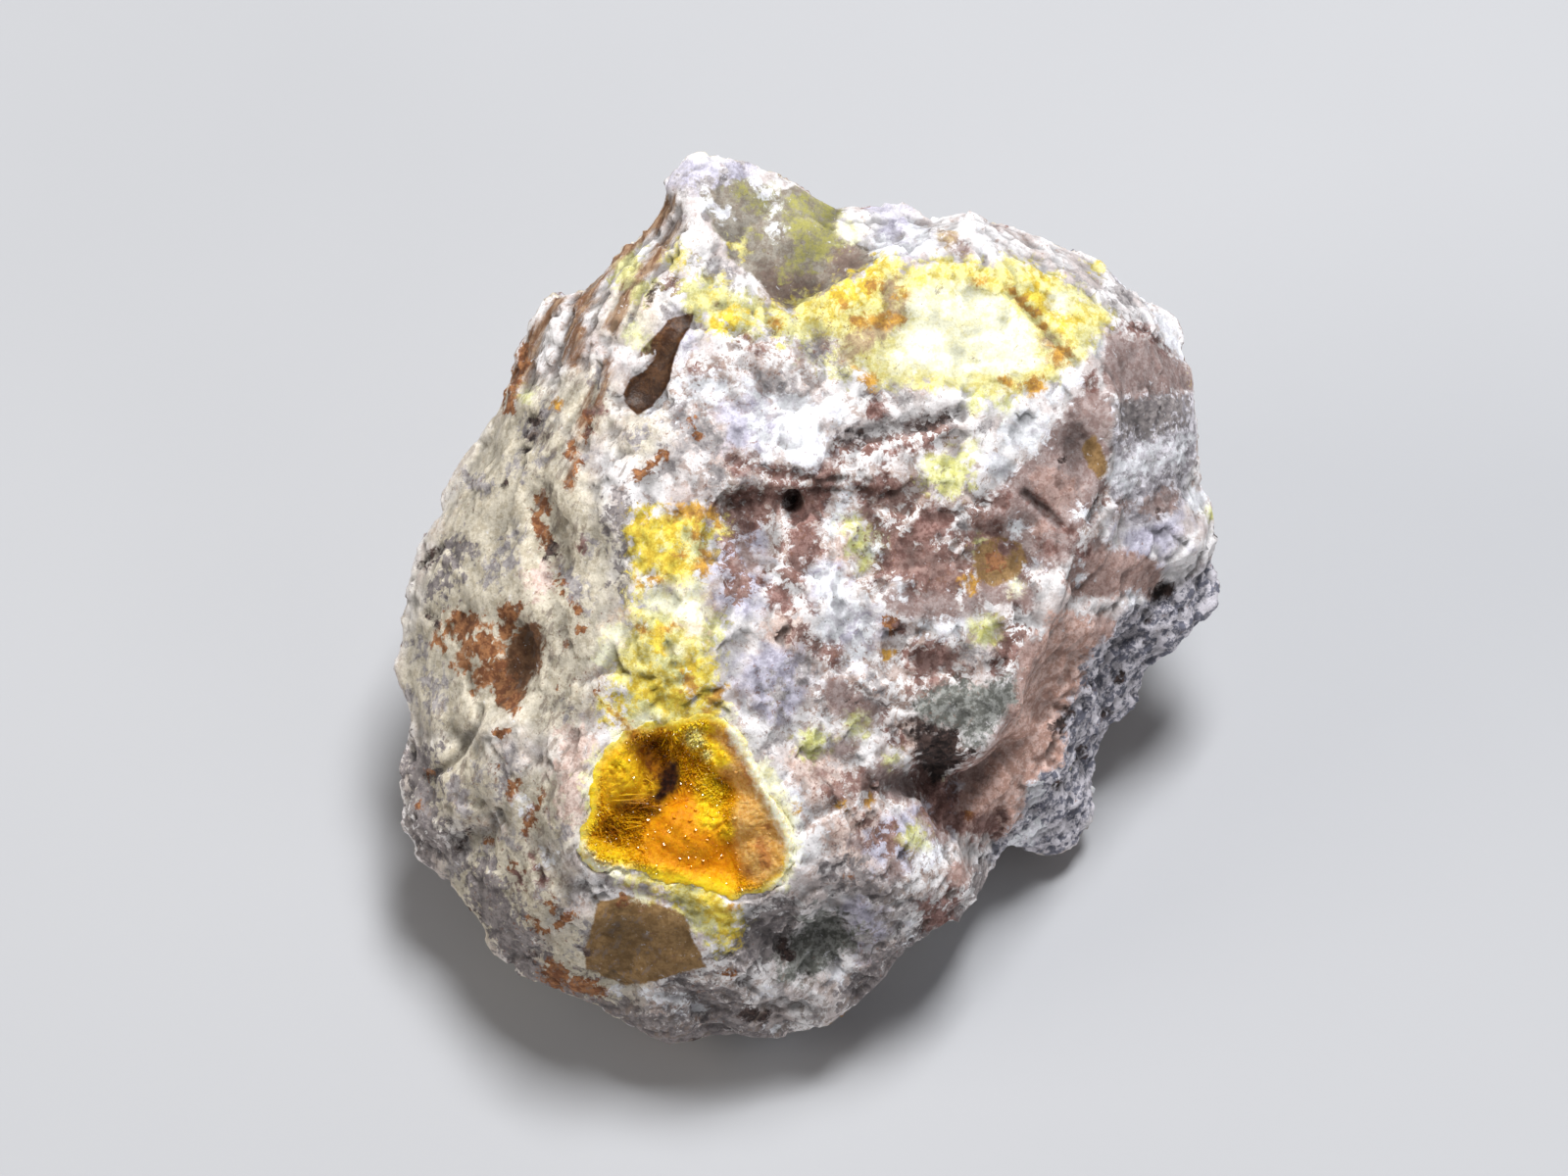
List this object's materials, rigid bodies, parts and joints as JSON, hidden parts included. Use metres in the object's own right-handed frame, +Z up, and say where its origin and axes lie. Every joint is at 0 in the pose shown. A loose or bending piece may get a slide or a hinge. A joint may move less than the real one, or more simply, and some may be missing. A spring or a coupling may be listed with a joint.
{
  "type": "uranophane mineral specimen",
  "caption": "Loose lump of pale, rust-stained breccia with a crystal-lined yellow-orange vug and yellow coatings, resting on a flat broken base.",
  "frame": {"origin": "middle of the object's box seen from above, at the height of its flat base", "axes": "+Z up from the base, -Y the way the show face leans, +X to the right seen from in front"},
  "size_m": [0.058, 0.0535, 0.0406],
  "materials": {
    "breccia": "rough broken altered tuff: chalky white matrix with brown and maroon clasts, grey patches and powdery yellow coatings",
    "uranophane": "glittering translucent orange-yellow druse with fine needles"
  },
  "bodies": {
    "root": {"matrix_rock": "breccia", "vug_crystal_crust": "uranophane"}
  },
  "joints": []
}
